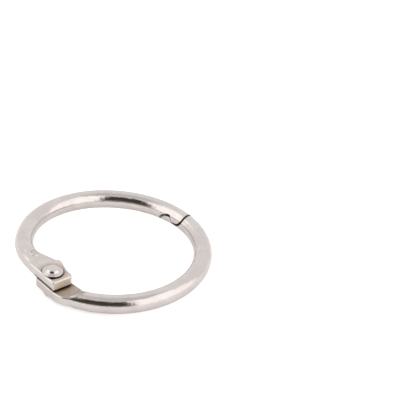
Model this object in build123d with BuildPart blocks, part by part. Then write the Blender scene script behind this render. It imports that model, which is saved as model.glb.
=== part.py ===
# Hinged binder ring: two steel half rings that turn on a rivet and hook together at the far side.
#
# Millimetres, +Z up. The origin is the ring's centre. The rivet's axis is parallel to Z on +X, the clasp is on -X.
# The upper half ring lies on -Y and carries the rivet's domed head, the lower one lies on +Y under it.
# Each half is drawn on its own as the upper one, and the lower one is turned half a turn about X.
import os
from math import acos, asin, cos, degrees, radians, sin, tan
from build123d import *

# Ring
inner_diameter = 30.0
wire_diameter = 3.5

# Hinge: the stack of lugs is turned about the rivet, and each wire bends in to run straight into its lug
hinge_inset = 0.85
hinge_turn = 9.3
upper_bend_radius = 11.0
lower_bend_radius = 6.0

# Lugs, pressed flat from the wire's end and stacked face to face, measured from the rivet's axis
lug_thickness = 1.86
lug_gap = 0.14
lug_outer = 1.95
lug_proud = 0.12
upper_lug_inner = 2.65
lower_lug_inner = 2.2
lug_reach = 2.95
upper_corner_radius = 0.35
lower_corner_radius = 0.9
inner_corner_radius = 1.0
lug_edge_radius = 0.35
lug_seat_edge_radius = 0.3
lug_flank = 4.5
lug_flank_radius = 4.0
lug_root = 7.6
lug_root_width = 2.9
ear_start = 0.8
ear_reach = 3.6
ear_offset = 2.5
ear_step = 0.75
ear_radius = 0.7

# Cut under each lug that the other lug swings in, and the run-out of the pressed flat above it
shoulder_offset = 5.4
shoulder_angle = 38.0
flat_length = 4.4
flat_runout_radius = 9.0
flat_runout_angle = 50.0

# Rivet
shank_diameter = 2.4
shank_clearance = 0.05
head_diameter = 3.84
head_rim = 0.3
head_dome = 0.7
head_underside_radius = 0.22
head_play = 0.05
tail_diameter = 3.1
tail_rim = 0.7
tail_dome = 0.4

# Clasp: each tongue has a round nose and ends in a hook that crosses the middle into a notch of the other half
clasp_offset = 0.6
tongue_length = 2.78
nose_radius = 2.18
nose_gap = 0.4
nose_height = 1.8
hook_rake = 30.0
hook_gap = 0.06
hook_corner_radius = 0.2

# Worked out from the sizes above
wire_radius = wire_diameter / 2
ring_radius = (inner_diameter + wire_diameter) / 2
outer_radius = ring_radius + wire_radius
clear = 2 * wire_diameter
lug_bottom = lug_gap / 2
lug_top = lug_bottom + lug_thickness
wire_rise = (lug_bottom + lug_top) / 2
half_tilt = asin(wire_rise / 2 / ring_radius)
hinge_x = ring_radius - hinge_inset
straight_distance = hinge_x * cos(radians(hinge_turn)) + lug_outer - lug_proud - wire_radius

os.makedirs("parts", exist_ok=True)


def span_of_half(clasp_middle):
    """The space that one half ring fills between the clasp's seam and the hinge, as two profiles pushed along X."""
    reach = outer_radius + clear
    hook_depth = nose_radius - nose_height
    notch_radius = nose_radius + nose_gap
    notch_depth = notch_radius - nose_height
    nose_middle = tongue_length - nose_radius
    rake = tan(radians(hook_rake))
    foot = shoulder_offset + (lug_bottom + clear) / tan(radians(shoulder_angle))
    runout = radians(flat_runout_angle)
    runout_end = (-flat_length - flat_runout_radius * sin(runout), lug_top + flat_runout_radius * (1 - cos(runout)))
    with BuildPart() as span:
        # Seam seen along X: the tongue's round nose, its hook's raked face and the notch for the other tongue
        with BuildSketch(Plane.YZ.shift_origin((0, clasp_middle, 0))) as seam:
            with BuildLine():
                hook = Polyline(
                    (nose_middle, -hook_depth),
                    (hook_depth * rake + hook_gap / 2, -hook_depth),
                    (-notch_depth * rake + hook_gap / 2, notch_depth),
                    (-nose_middle, notch_depth),
                )
                back = Polyline(
                    (-nose_middle - notch_radius, -nose_height),
                    (-nose_middle - notch_radius, -clear),
                    (-reach, -clear),
                    (-reach, clear),
                    (tongue_length, clear),
                    (tongue_length, nose_height),
                )
                TangentArc(back @ 1, hook @ 0, tangent=(0, -1))
                TangentArc(hook @ 1, back @ 0, tangent=(-1, 0))
            make_face()
            hook_corners = seam.vertices().filter_by_position(Axis.X, -nose_middle, nose_middle, (False, False))
            fillet(hook_corners, hook_corner_radius)
        extrude(amount=-reach)
        # Hinge seen along X: the sloped shoulder below, the lug's seat, and the pressed flat with its run-out above
        with BuildSketch(Plane.YZ):
            with BuildLine():
                path = Polyline(
                    (-flat_length, lug_top),
                    (-flat_length, lug_bottom),
                    (-shoulder_offset, lug_bottom),
                    (-foot, -clear),
                    (-reach, -clear),
                    (-reach, runout_end[1]),
                    runout_end,
                )
                TangentArc(path @ 0, path @ 1, tangent=(-1, 0))
            make_face()
        extrude(amount=reach)
    return span.part


def wire_path(turn, bend_radius):
    """Centre line of one half ring's wire, from before the clasp to beside the rivet."""
    lead = degrees(asin((tongue_length + wire_diameter) / ring_radius))
    bend_angle = acos((straight_distance - bend_radius) / (ring_radius - bend_radius))
    straight = (ring_radius - bend_radius) * sin(bend_angle) - hinge_x * sin(radians(turn))
    with BuildLine() as path:
        ring = CenterArc((0, 0), ring_radius, 180 - lead, 180 + lead + turn - degrees(bend_angle))
        bend = JernArc(ring @ 1, ring % 1, bend_radius, degrees(bend_angle))
        Line(bend @ 1, bend @ 1 + straight * (bend % 1))
    return path.wire()


def lug(path, turn, inner_side, corner_radius, eared):
    """The flat lug of one half ring: it tapers into the wire at its root, and an ear may swell on its inner side."""
    plane = Plane(Location((hinge_x, 0, lug_bottom), (0, 0, turn)))
    root = path.position_at(path.length - lug_root, position_mode=PositionMode.LENGTH)
    along = path.tangent_at(path.length - lug_root, position_mode=PositionMode.LENGTH)
    across = along.rotate(Axis.Z, -90) * lug_root_width / 2
    root_inner = plane.to_local_coords(root - across)
    root_outer = plane.to_local_coords(root + across)
    swell = [(-inner_side, ear_start), (-ear_reach, -ear_offset), (-ear_reach + ear_step, -ear_offset - ear_step)]
    with BuildPart() as plate:
        with BuildSketch(plane) as outline:
            with BuildLine():
                Polyline(
                    (lug_outer, lug_reach),
                    (-inner_side, lug_reach),
                    *(swell if eared else []),
                    (root_inner.X, root_inner.Y),
                    (root_outer.X, root_outer.Y),
                    (lug_outer, -lug_flank),
                    close=True,
                )
            make_face()
            fillet(outline.vertices().sort_by_distance((lug_outer, -lug_flank))[0], lug_flank_radius)
            fillet(outline.vertices().sort_by_distance((lug_outer, lug_reach))[0], corner_radius)
            fillet(outline.vertices().sort_by_distance((-inner_side, lug_reach))[0], inner_corner_radius)
            if eared:
                fillet(outline.vertices().sort_by_distance((-ear_reach, -ear_offset))[0], ear_radius)
        extrude(amount=lug_thickness)
        fillet(plate.faces().sort_by(Axis.Z)[-1].edges(), lug_edge_radius)
        fillet(plate.faces().sort_by(Axis.Z)[0].edges(), lug_seat_edge_radius)
    return plate.part


def half_ring(clasp_middle, turn, bend_radius, inner_side, corner_radius, eared):
    """One half ring as the upper one: wire, clasp tongue, pressed lug and rivet hole."""
    path = wire_path(turn, bend_radius)
    with BuildPart() as wire:
        with BuildSketch(Plane(path @ 0, z_dir=path % 0)):
            Circle(wire_radius)
        sweep(path=path)
    with BuildPart() as half:
        add(wire.part.moved(Location((0, 0, wire_rise / 2), (0, -degrees(half_tilt), 0))))
        add(span_of_half(clasp_middle), mode=Mode.INTERSECT)
        add(lug(path, turn, inner_side, corner_radius, eared))
        with Locations((hinge_x, 0, 0)):
            Cylinder(shank_diameter / 2 + shank_clearance, 2 * clear, mode=Mode.SUBTRACT)
    return half.part


with BuildPart() as half_ring_upper:
    add(half_ring(clasp_offset, -hinge_turn, upper_bend_radius, upper_lug_inner, upper_corner_radius, True))

with BuildPart() as half_ring_lower:
    add(
        half_ring(-clasp_offset, hinge_turn, lower_bend_radius, lower_lug_inner, lower_corner_radius, False),
        rotation=(180, 0, 0),
    )

# Rivet: domed head on the upper lug, shank through both lugs, tail riveted over under the lower lug
with BuildPart() as hinge_rivet:
    seat = lug_top + head_play
    with BuildSketch(Plane.XZ) as profile:
        with BuildLine():
            middle = Line((hinge_x, seat + head_rim + head_dome), (hinge_x, -lug_top - tail_rim - tail_dome))
            side = Polyline(
                (hinge_x + tail_diameter / 2, -lug_top - tail_rim),
                (hinge_x + tail_diameter / 2, -lug_top),
                (hinge_x + shank_diameter / 2, -lug_top),
                (hinge_x + shank_diameter / 2, seat),
                (hinge_x + head_diameter / 2, seat),
                (hinge_x + head_diameter / 2, seat + head_rim),
            )
            TangentArc(middle @ 1, side @ 0, tangent=(1, 0))
            TangentArc(middle @ 0, side @ 1, tangent=(1, 0))
        make_face()
        fillet(profile.vertices().group_by(Axis.X)[-1].sort_by(Axis.Y)[0], head_underside_radius)
    revolve(axis=Axis((hinge_x, 0, 0), (0, 0, 1)))

half_ring_upper.part.label = "half_ring_upper"
half_ring_lower.part.label = "half_ring_lower"
hinge_rivet.part.label = "hinge_rivet"
export_step(half_ring_upper.part, "parts/half_ring_upper.step")
export_step(half_ring_lower.part, "parts/half_ring_lower.step")
export_step(hinge_rivet.part, "parts/hinge_rivet.step")
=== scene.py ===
from math import radians

import bpy
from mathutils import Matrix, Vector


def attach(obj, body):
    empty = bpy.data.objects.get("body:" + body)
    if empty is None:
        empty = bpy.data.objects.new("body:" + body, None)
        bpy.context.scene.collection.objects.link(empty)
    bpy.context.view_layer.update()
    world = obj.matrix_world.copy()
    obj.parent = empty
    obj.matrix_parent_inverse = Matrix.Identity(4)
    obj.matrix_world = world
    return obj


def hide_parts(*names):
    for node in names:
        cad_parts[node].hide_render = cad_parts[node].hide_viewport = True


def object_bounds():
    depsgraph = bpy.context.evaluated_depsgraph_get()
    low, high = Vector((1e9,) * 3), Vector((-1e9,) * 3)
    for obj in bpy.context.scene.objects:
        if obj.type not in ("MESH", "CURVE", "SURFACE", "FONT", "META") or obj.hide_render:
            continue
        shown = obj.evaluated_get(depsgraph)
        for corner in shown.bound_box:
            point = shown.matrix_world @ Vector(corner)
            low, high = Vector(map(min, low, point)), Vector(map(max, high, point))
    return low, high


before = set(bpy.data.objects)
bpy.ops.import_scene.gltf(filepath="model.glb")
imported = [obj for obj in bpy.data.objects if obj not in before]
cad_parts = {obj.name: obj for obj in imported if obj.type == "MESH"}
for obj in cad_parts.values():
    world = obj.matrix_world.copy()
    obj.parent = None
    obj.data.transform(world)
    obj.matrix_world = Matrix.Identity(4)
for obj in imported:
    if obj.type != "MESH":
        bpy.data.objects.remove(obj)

# Polished binder ring: nickel plated half rings and rivet on white paper, lit as in a tabletop photo box.
# The ring lies level around the origin, the rivet on +X, the clasp on -X, the upper half ring on -Y.
# Lengths are written in millimetres, apart from the floor's size and the camera's place, which are metres.

MM = 0.001

# The solids' own sizes that patterns and the rivet follow
RING_RADIUS = 16.75
RIVET_X = 15.9
LUG_TURN = radians(-9.3)

cad_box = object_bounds()
bpy.ops.object.select_all(action="DESELECT")


def linear(hex_colour):
    """An sRGB hex colour as linear RGBA."""
    channels = []
    for k in (1, 3, 5):
        c = int(hex_colour[k:k + 2], 16) / 255
        channels.append(c / 12.92 if c <= 0.04045 else ((c + 0.055) / 1.055) ** 2.4)
    return (*channels, 1.0)


def node(tree, kind, inputs=None, **settings):
    """Adds one shader node with its settings. Its inputs are values, sockets or other nodes' results."""
    added = tree.nodes.new("ShaderNode" + kind)
    for setting, value in settings.items():
        setattr(added, setting, value)
    for socket, value in (inputs or {}).items():
        if isinstance(value, bpy.types.Node):
            value = next(output for output in value.outputs if output.enabled)
        if isinstance(value, bpy.types.NodeSocket):
            tree.links.new(value, added.inputs[socket])
        else:
            added.inputs[socket].default_value = value
    return added


def mask(tree, *steps, most=1.0):
    """The product of soft steps, times most. A step is a value, where it gives 0 and where it gives 1."""
    product = most
    for value, zero_at, one_at in steps:
        step = node(tree, "MapRange", {0: value, 1: zero_at, 2: one_at},
                    interpolation_type="SMOOTHSTEP")
        product = node(tree, "Math", {0: product, 1: step}, operation="MULTIPLY")
    return product


def between(value, low, high, soft):
    """Two steps that together give 1 from low to high. Each edge is as wide as soft."""
    return (value, low - soft / 2, low + soft / 2), (value, high + soft / 2, high - soft / 2)


# ---------------------------------------------------------------- world: white photo box with soft lights

# Patches of the white box in degrees, each laid over those before it:
# azimuths, elevations, width of their soft edges, brightness and warmth
PATCHES = (
    ((-400, 400), (66, 120), (10, 12), 0.74, 0.0),     # the top, a little darker than the walls
    ((66, 146), (3, 67), (10, 10), 1.46, 0.01),        # soft light on the camera's right
    ((-64, -7), (5, 42), (14, 8), 1.5, 0.015),         # soft light on the camera's left, wider above
    ((-88, -7), (34, 61), (14, 8), 1.5, 0.015),
    ((-8, 68), (-20, 64), (12, 6), 0.65, 0.03),        # the open front, and the dark room behind it
    ((-5, 64), (4, 60), (8, 6), 0.2, 0.1),
    ((-4, 63), (16, 59), (8, 8), 0.06, 0.13),
)

world = bpy.data.worlds.new("photo_box")
bpy.context.scene.world = world
world.use_nodes = True
tree = world.node_tree
tree.nodes.clear()
toward = node(tree, "SeparateXYZ", {0: node(tree, "TexCoord").outputs["Generated"]}).outputs
azimuth = node(tree, "Math", {0: toward["Y"], 1: toward["X"]}, operation="ARCTAN2")
azimuth = node(tree, "Math", {0: azimuth}, operation="DEGREES")
elevation = node(tree, "Math", {0: toward["Z"]}, operation="ARCSINE")
elevation = node(tree, "Math", {0: elevation}, operation="DEGREES")
box = (1.0, 1.0, 1.0, 1.0)
for azimuths, elevations, soft, level, warmth in PATCHES:
    inside = mask(tree, *between(azimuth, *azimuths, soft[0]),
                  *between(elevation, *elevations, soft[1]))
    patch = (level * (1 + warmth), level, level * (1 - warmth), 1.0)
    box = node(tree, "Mix", {0: inside, 6: box, 7: patch}, data_type="RGBA")
light = node(tree, "Background", {"Color": box})
# The camera sees plain white, the metal mirrors the box
seen = node(tree, "Background", {"Color": (1, 1, 1, 1)})
mixed = node(tree, "MixShader", {0: node(tree, "LightPath").outputs["Is Camera Ray"], 1: light, 2: seen})
node(tree, "OutputWorld", {"Surface": mixed})


# ---------------------------------------------------------------- nickel plate

# Colours. Polished plate, its cloudy patches and its draw lines
PLATE, CLOUD, DRAW_LINE = "#D6CFCC", "#D0C8C5", "#BFB5B0"
# Pressed faces at the hinge and their grit
PRESSED, PRESSED_GRIT = "#C4B6A9", "#A79A8E"
# Painted shade on their shaded part, painted light on the lug's end, painted shade under the other lug
SHADED, LUG_END_LIT, COVERED_SHADE = "#6E5E52", "#EADDCF", "#9A8B7D"
# Sawn faces in the clasp and their grit
SAWN, SAWN_GRIT = "#D3C7BC", "#A3978D"
# Painted warm reflection round the rivet's head, and painted shade close under the head, along the upper
# lug's lip, on the clasp's rims and in crevices
WARM_REFLECTION, HEAD_SHADE = "#B5A391", "#4E4137"
LIP_SHADE, RIM_SHADE, CREVICE_SHADE = "#4E3E34", "#2E2520", "#342922"

# Noise, in features per mm: draw lines, ripples, cloudy plate, grit and knocks
LINES_PER_MM = 5.0
RIPPLES_PER_MM = 1.3
CLOUDS_PER_MM = 0.35
GRIT_PER_MM = 3.0
KNOCKS_PER_MM = 2.4

# Relief: the height of each noise, as a multiple of BUMP_HEIGHT, and how round every edge looks
LINES_HEIGHT = 0.2
PRESSED_HEIGHT = 0.5
SAWN_HEIGHT = 0.6
KNOCKS_HEIGHT = 12.0
BUMP_HEIGHT = 0.05
EDGE_RADIUS = 0.06

# Roughness of the polished plate from least to most, and what the duller faces add to it
POLISHED_ROUGHNESS = (0.07, 0.15)
PRESSED_ROUGHER = 0.3
LUG_END_ROUGHER = 0.25
SAWN_ROUGHER = 0.45

# Painted shade in crevices: how wide they are at most, how open a spot without painted shade and one fully
# shaded are, and how strong the painted shade is, which is less on the pressed faces
CREVICE_WIDTH = 0.5
CREVICE_OPEN = (0.7, 0.44)
CREVICE_MOST = 0.95
PRESSED_LESS = 0.45

# Masks at the hinge, each as the value that gives 0 and the value that gives 1. They are read in the lug's
# own frame from the rivet's axis: X across the lug, Y towards its end, Z away from the other lug.
LUG_ROOT_Y = (-7.4, -6.8)
LUG_SIDE_X = (-8, -7)
SHADED_Y = (-3.9, -2.9)
COVERED_SHADE_Y = (-3.1, -2.6)
END_Y = (2.2, 2.6)
LIP_Y = (-3.2, -2.7)
LIP_Z = (0.72, 0.47)
WARM_REFLECTION_RING = (3.6, 1.9)
HEAD_SHADE_RING = (2.35, 2.0)
# The same for the facing, as a part of the normal along the axis that is named
SEAT_FACES_Z = (-0.9, -0.98)
END_FACES_Y = (0.8, 0.95)
LIP_FACES_Y = (0.7, 0.3)
TOP_FACES_Z = (0.97, 0.995)
# The sloped shoulder's facing along Z, from, to and how soft
SHOULDER_FACES_Z = (-0.83, -0.74, 0.04)

# The same in the clasp: its place along X, the facing of its sawn faces along the way out of the round wire,
# and the turn of the surface by a bevel of RIM_WIDTH along its rims
CLASP_X = (-11, -12)
SAWN_FACES_OUT = (0.9, 0.75)
RIM_TURN = (0.97, 0.85)
RIM_WIDTH = 0.17

# Cluster of knocks on the upper half ring, a little before its lug: its middle, and its reach as a mask
KNOCKS = (14.45, -6.4, 2.1)
KNOCKS_REACH = (0.95, 0.4)


def hinge_faces(tree, at, mm, grit, over, upper):
    """The lug's pressed faces, its shoulder and its end: duller, gritty tan, as the polish can't reach them.

    Gives the mask of them all, the mask of the end, and the layers of colour at the hinge, among them painted
    shade, painted light on the end and a painted warm reflection round the rivet's head.
    """
    rotation = (over, 0, LUG_TURN)
    place = node(tree, "Mapping", {"Vector": mm, "Location": (RIVET_X, 0, 0), "Rotation": rotation},
                 vector_type="TEXTURE")
    place = node(tree, "SeparateXYZ", {0: place}).outputs
    faces = node(tree, "Mapping", {"Vector": at["Normal"], "Rotation": rotation}, vector_type="TEXTURE")
    faces = node(tree, "SeparateXYZ", {0: faces}).outputs
    near = ((place["Y"], *LUG_ROOT_Y), (place["X"], *LUG_SIDE_X))
    seat = mask(tree, *near, (faces["Z"], *SEAT_FACES_Z))
    shoulder = mask(tree, *near, *between(faces["Z"], *SHOULDER_FACES_Z), most=0.45)
    end = mask(tree, (place["Y"], *END_Y), (faces["Y"], *END_FACES_Y))
    cut = node(tree, "Math", {0: seat, 1: end}, operation="MAXIMUM")
    cut = node(tree, "Math", {0: cut, 1: shoulder}, operation="MAXIMUM")

    tan = node(tree, "Mix", {0: mask(tree, (grit, 0.3, 0.7)), 6: linear(PRESSED), 7: linear(PRESSED_GRIT)},
               data_type="RGBA")
    # Over the tan: painted shade towards the end, painted light on the end, painted shade under the other lug
    shaded = mask(tree, (place["Y"], *SHADED_Y), most=0.75)
    covered_shade = node(tree, "Math", {0: seat, 1: mask(tree, (place["Y"], *COVERED_SHADE_Y))}, operation="MULTIPLY")
    for factor, tone in ((shaded, SHADED), (end, LUG_END_LIT), (covered_shade, COVERED_SHADE)):
        tan = node(tree, "Mix", {0: factor, 6: tan, 7: linear(tone)}, data_type="RGBA")
    layers = [(cut, tan)]
    if upper:
        # Painted shade on the rounded lower edge of the upper lug, deep in the stack
        lip = mask(tree, (place["Z"], *LIP_Z), (place["Y"], *LIP_Y), (place["X"], *LUG_SIDE_X),
                   (faces["Y"], *LIP_FACES_Y), most=0.92)
        layers.append((lip, linear(LIP_SHADE)))
    # Painted warm reflection round the rivet's head, and painted shade close under its rim
    around = node(tree, "CombineXYZ", {0: place["X"], 1: place["Y"]})
    around = node(tree, "VectorMath", {0: around}, operation="LENGTH")
    top = (faces["Z"], *TOP_FACES_Z)
    layers.append((mask(tree, (around, *WARM_REFLECTION_RING), top, most=0.9), linear(WARM_REFLECTION)))
    layers.append((mask(tree, (around, *HEAD_SHADE_RING), top, most=0.75), linear(HEAD_SHADE)))
    return cut, end, layers


def clasp_faces(tree, at, mm, level, grit, x):
    """The sawn faces inside the clasp, those that don't look straight out of the round wire: gritty steel.

    Gives their mask and the layers of colour at the clasp, with painted shade along its rims.
    """
    middle = node(tree, "VectorMath", {0: level}, operation="NORMALIZE")
    middle = node(tree, "VectorMath", {0: middle, "Scale": RING_RADIUS}, operation="SCALE")
    out = node(tree, "VectorMath", {0: mm, 1: middle}, operation="SUBTRACT")
    out = node(tree, "VectorMath", {0: out}, operation="NORMALIZE")
    outward = node(tree, "VectorMath", {0: out, 1: at["Normal"]}, operation="DOT_PRODUCT")
    sawn = mask(tree, (outward, *SAWN_FACES_OUT), (x, *CLASP_X))
    steel = node(tree, "Mix", {0: mask(tree, (grit, 0.35, 0.65)), 6: linear(SAWN), 7: linear(SAWN_GRIT)},
                 data_type="RGBA")
    # Painted shade along the clasp's rims, where a bevel would turn the surface
    bevel = node(tree, "Bevel", {"Radius": RIM_WIDTH * MM}, samples=8)
    normal = node(tree, "NewGeometry").outputs["Normal"]
    turned = node(tree, "VectorMath", {0: bevel, 1: normal}, operation="DOT_PRODUCT")
    rim = mask(tree, (turned, *RIM_TURN), (x, *CLASP_X))
    return sawn, [(sawn, steel), (rim, linear(RIM_SHADE))]


def nickel_plate(name, over=None, upper=False):
    """Bright nickel plate on drawn steel wire, barrel polished: a warm mirror, faint draw lines and ripples.

    over is the turn about X that brings a half ring's lug to the upper one's place, and None for the rivet.
    """
    material = bpy.data.materials.new(name)
    material.use_nodes = True
    tree = material.node_tree
    at = node(tree, "TexCoord").outputs
    mm = node(tree, "Mapping", {"Vector": at["Object"], "Scale": (1 / MM, 1 / MM, 1 / MM)})
    place = node(tree, "SeparateXYZ", {0: mm}).outputs
    level = node(tree, "CombineXYZ", {0: place["X"], 1: place["Y"]})
    radius = node(tree, "VectorMath", {0: level}, operation="LENGTH")
    turn = node(tree, "Math", {0: place["Y"], 1: place["X"]}, operation="ARCTAN2")
    along = node(tree, "Math", {0: turn, 1: RING_RADIUS}, operation="MULTIPLY")
    wire = node(tree, "CombineXYZ", {0: radius, 1: place["Z"], 2: along})

    # Draw lines along the wire. Real ones are some 0.02 mm wide, these are 0.2 mm so that they show
    drawn = node(tree, "VectorMath", {0: wire, 1: (1, 1, 0.08)}, operation="MULTIPLY")
    lines = node(tree, "TexNoise", {"Vector": drawn, "Scale": LINES_PER_MM, "Detail": 3.0, "Roughness": 0.6})
    # Ripples of about a millimetre that the polishing leaves
    rolled = node(tree, "VectorMath", {0: wire, 1: (1, 1, 0.7)}, operation="MULTIPLY")
    ripples = node(tree, "TexNoise",
                   {"Vector": rolled, "Scale": RIPPLES_PER_MM, "Detail": 4.0, "Roughness": 0.62})
    height = node(tree, "Math", {0: lines, 1: LINES_HEIGHT, 2: ripples}, operation="MULTIPLY_ADD")
    # Plate that is cloudy over some 3 mm
    clouds = node(tree, "TexNoise", {"Vector": mm, "Scale": CLOUDS_PER_MM, "Detail": 3.0})
    colour = node(tree, "Mix", {0: mask(tree, (clouds, 0.35, 0.65)), 6: linear(PLATE), 7: linear(CLOUD)},
                  data_type="RGBA")
    least, most = POLISHED_ROUGHNESS
    rough = node(tree, "MapRange", {0: lines, 1: 0.3, 2: 0.7, 3: least, 4: most},
                 interpolation_type="SMOOTHSTEP")
    layers = [(mask(tree, (lines, 0.55, 0.75), most=0.5), linear(DRAW_LINE))]
    crevice_shade_amount = CREVICE_MOST

    if over is not None:
        # Grit of a third of a millimetre, on the faces that the polish misses
        grit = node(tree, "TexNoise", {"Vector": mm, "Scale": GRIT_PER_MM, "Detail": 5.0, "Roughness": 0.7})
        cut, end, hinge_layers = hinge_faces(tree, at, mm, grit, over, upper)
        sawn, clasp_layers = clasp_faces(tree, at, mm, level, grit, place["X"])
        layers += hinge_layers + clasp_layers
        for where, rougher in ((cut, PRESSED_ROUGHER), (end, LUG_END_ROUGHER), (sawn, SAWN_ROUGHER)):
            rough = node(tree, "Math", {0: where, 1: rougher, 2: rough}, operation="MULTIPLY_ADD")
        for where, deep in ((cut, PRESSED_HEIGHT), (sawn, SAWN_HEIGHT)):
            rugged = node(tree, "Math", {0: where, 1: grit}, operation="MULTIPLY")
            height = node(tree, "Math", {0: rugged, 1: deep, 2: height}, operation="MULTIPLY_ADD")
        crevice_shade_amount = node(tree, "Math", {0: cut, 1: -PRESSED_LESS, 2: crevice_shade_amount}, operation="MULTIPLY_ADD")

    if upper:
        knock = node(tree, "VectorMath", {0: mm, 1: KNOCKS}, operation="DISTANCE")
        specks = node(tree, "TexNoise", {"Vector": mm, "Scale": KNOCKS_PER_MM, "Detail": 2.0})
        specks = node(tree, "Math", {0: specks, 1: mask(tree, (knock, *KNOCKS_REACH))}, operation="MULTIPLY")
        height = node(tree, "Math", {0: specks, 1: KNOCKS_HEIGHT, 2: height}, operation="MULTIPLY_ADD")

    # Painted shade in narrow crevices
    crevice = node(tree, "AmbientOcclusion", {"Distance": CREVICE_WIDTH * MM}, samples=8).outputs["AO"]
    layers.append((mask(tree, (crevice, *CREVICE_OPEN), most=crevice_shade_amount), linear(CREVICE_SHADE)))

    for factor, tone in layers:
        colour = node(tree, "Mix", {0: factor, 6: colour, 7: tone}, data_type="RGBA")
    bevel = node(tree, "Bevel", {"Radius": EDGE_RADIUS * MM}, samples=4)
    bump = node(tree, "Bump",
                {"Height": height, "Distance": BUMP_HEIGHT * MM, "Strength": 1.0, "Normal": bevel})
    shader = tree.nodes["Principled BSDF"]
    shader.inputs["Metallic"].default_value = 1.0
    tree.links.new(colour.outputs[2], shader.inputs["Base Color"])
    tree.links.new(rough.outputs[0], shader.inputs["Roughness"])
    tree.links.new(bump.outputs[0], shader.inputs["Normal"])
    return material


plates = {"half_ring_upper": nickel_plate("nickel_plate_upper", over=0.0, upper=True),
          "half_ring_lower": nickel_plate("nickel_plate_lower", over=radians(180))}
for part, plate in plates.items():
    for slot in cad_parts[part].material_slots:
        slot.material = plate


# ---------------------------------------------------------------- rivet, its head peened over

# Half profiles from the shank outwards, as radius and height: the head above the lugs, the tail below them
HEAD = ((1.3, 1.99), (1.6, 2.0), (1.8, 2.03), (1.91, 2.09), (1.92, 2.16), (1.86, 2.22), (1.7, 2.28),
        (1.48, 2.36), (1.32, 2.45), (1.22, 2.58), (1.15, 2.72), (1.06, 2.83), (0.9, 2.9), (0.62, 2.935),
        (0.3, 2.95), (0.1, 2.955))
TAIL = ((1.45, -1.94), (1.54, -2.0), (1.54, -2.3), (1.53, -2.55), (1.42, -2.72), (1.1, -2.86),
        (0.7, -2.95), (0.3, -2.99))
SHANK_RADIUS = 1.2
SHANK_TOP = 1.98
SHANK_BOTTOM = -1.94
RIVET_SIDES = 64
DENT_SIZE = 0.9
DENT_DEPTH = 0.06


def select_end(obj, direction):
    """Selects the end face that points up (1) or down (-1), and stays in edit mode."""
    bpy.ops.object.mode_set(mode="EDIT")
    bpy.ops.mesh.select_all(action="DESELECT")
    bpy.ops.object.mode_set(mode="OBJECT")
    max(obj.data.polygons, key=lambda face: face.center.z * direction).select = True
    bpy.ops.object.mode_set(mode="EDIT")
    bpy.ops.mesh.select_mode(type="FACE")


def grow(profile, radius, height):
    """Extrudes the selected end face, which has this radius and height, through the rings of a profile."""
    for r, z in profile:
        bpy.ops.mesh.extrude_region_move(TRANSFORM_OT_translate={"value": (0, 0, (z - height) * MM)})
        bpy.ops.transform.resize(value=(r / radius, r / radius, 1))
        radius, height = r, z


bpy.ops.mesh.primitive_cylinder_add(vertices=RIVET_SIDES, radius=SHANK_RADIUS * MM,
                                    depth=(SHANK_TOP - SHANK_BOTTOM) * MM,
                                    location=(RIVET_X * MM, 0, (SHANK_TOP + SHANK_BOTTOM) / 2 * MM))
rivet = bpy.context.object
rivet.name = "peened_rivet"
select_end(rivet, 1)
grow(HEAD, SHANK_RADIUS, SHANK_TOP)
bpy.ops.object.mode_set(mode="OBJECT")
select_end(rivet, -1)
grow(TAIL, SHANK_RADIUS, SHANK_BOTTOM)
bpy.ops.mesh.select_all(action="SELECT")
bpy.ops.mesh.normals_make_consistent(inside=False)
bpy.ops.object.mode_set(mode="OBJECT")
bpy.ops.object.transform_apply(location=True, rotation=True, scale=True)

smooth = rivet.modifiers.new("smooth", "SUBSURF")
smooth.levels = smooth.render_levels = 2
bpy.ops.object.modifier_apply(modifier=smooth.name)
dents = bpy.data.textures.new("hammer_dents", "CLOUDS")
dents.noise_scale = DENT_SIZE * MM
uneven = rivet.modifiers.new("uneven", "DISPLACE")
uneven.texture = dents
uneven.texture_coords = "LOCAL"
uneven.strength = DENT_DEPTH * MM
bpy.ops.object.modifier_apply(modifier=uneven.name)
bpy.ops.object.shade_smooth()
rivet.data.materials.append(nickel_plate("nickel_plate_rivet"))
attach(rivet, "lower")
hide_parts("hinge_rivet")


# ---------------------------------------------------------------- white sweep

FLOOR_SIZE = 2.0
# Light that the paper gives of its own, to the camera and to what the metal mirrors
CAMERA_LIFT = 0.6
MIRROR_LIFT = 0.24

bpy.ops.mesh.primitive_plane_add(size=FLOOR_SIZE, location=(0, 0, cad_box[0][2]))
floor = bpy.context.object
floor.name = "floor"

# Matt white paper, lifted to plain white, on which little more than the ring's soft shadow shows
sweep = bpy.data.materials.new("paper_sweep")
sweep.use_nodes = True
tree = sweep.node_tree
paper = tree.nodes["Principled BSDF"]
paper.inputs["Base Color"].default_value = linear("#F2F2F2")
paper.inputs["Roughness"].default_value = 0.9
paper.inputs["Emission Color"].default_value = (1, 1, 1, 1)
ray = node(tree, "LightPath").outputs
lift = node(tree, "Math", {0: ray["Is Camera Ray"], 1: CAMERA_LIFT}, operation="MULTIPLY")
lift = node(tree, "Math", {0: ray["Is Glossy Ray"], 1: MIRROR_LIFT, 2: lift}, operation="MULTIPLY_ADD")
tree.links.new(lift.outputs[0], paper.inputs["Emission Strength"])
floor.data.materials.append(sweep)


# ---------------------------------------------------------------- camera, fitted to both outlines of the ring

cam = bpy.data.cameras.new("camera")
cam.lens = 154.98
cam.sensor_width = 36.0
cam.clip_end = 10.0
camera = bpy.data.objects.new("camera", cam)
camera.location = (0.1965817, 0.1811448, 0.18172)
camera.rotation_euler = (radians(57.4818), radians(-4.1288), radians(132.0))
bpy.context.scene.collection.objects.link(camera)
bpy.context.scene.camera = camera

bpy.context.scene.view_settings.view_transform = "Standard"
